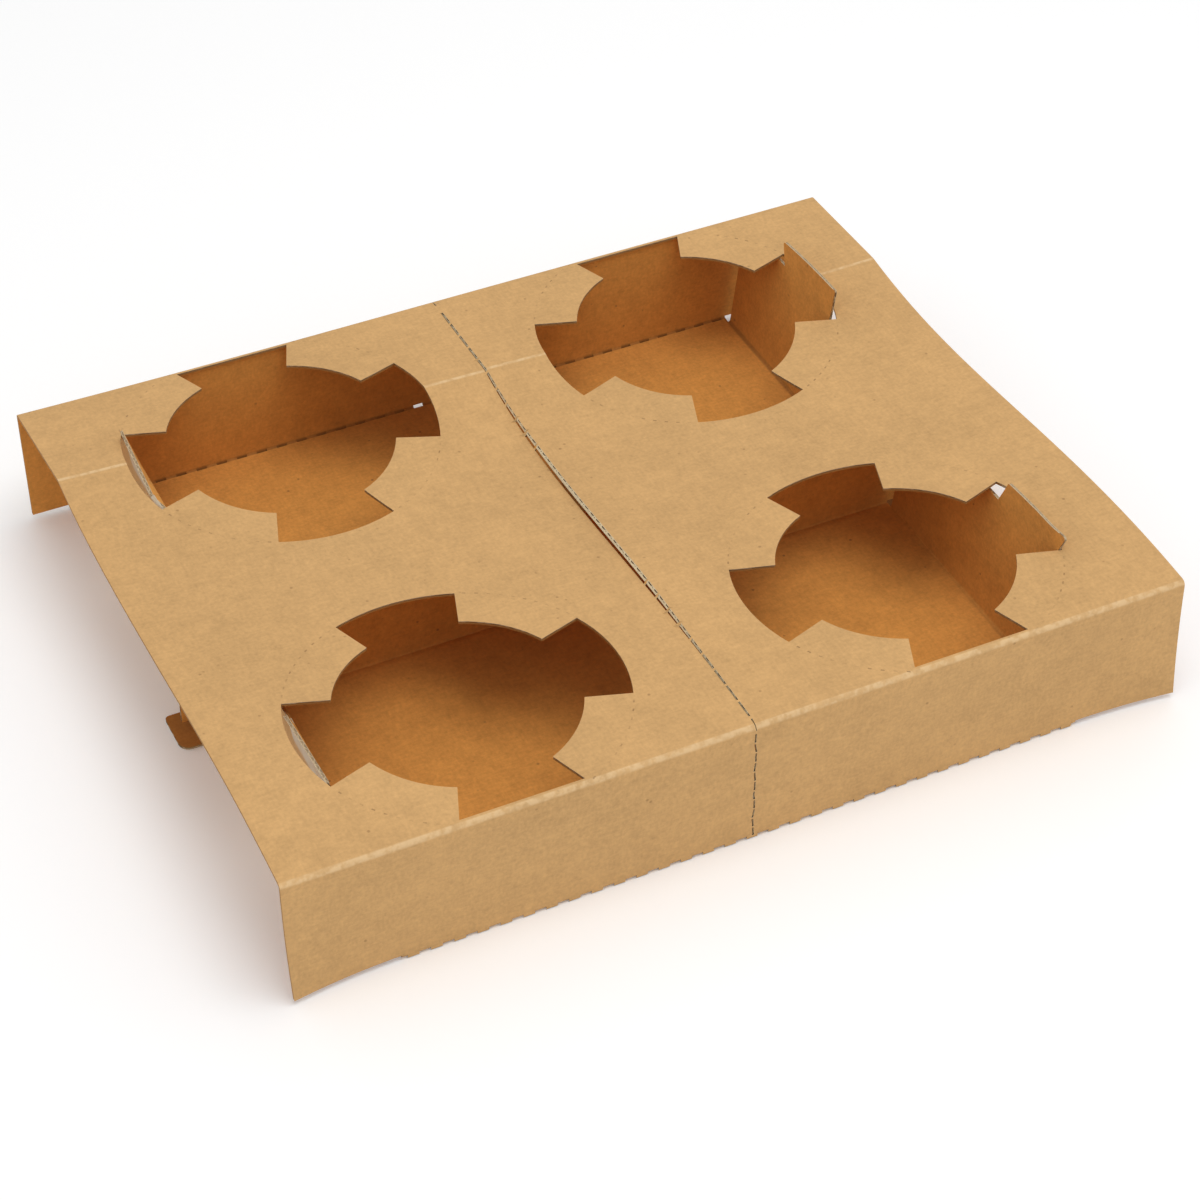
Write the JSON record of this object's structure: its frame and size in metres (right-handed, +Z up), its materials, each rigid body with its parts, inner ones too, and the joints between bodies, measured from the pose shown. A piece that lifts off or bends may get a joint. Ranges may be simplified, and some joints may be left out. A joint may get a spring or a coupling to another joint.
{
  "type": "cardboard cup carrier",
  "caption": "Flat folded cardboard carrier that holds take-away cups in notched round holes over a shallow tray with a partition.",
  "frame": {"origin": "middle of the footprint on the table", "axes": "+X along the front wall to the right, +Y to the rear wall, +Z up"},
  "size_m": [0.258, 0.214, 0.0457],
  "materials": {
    "kraft_board": "matte uncoated kraft liner"
  },
  "bodies": {
    "root": {"carrier": "kraft_board"}
  },
  "joints": []
}
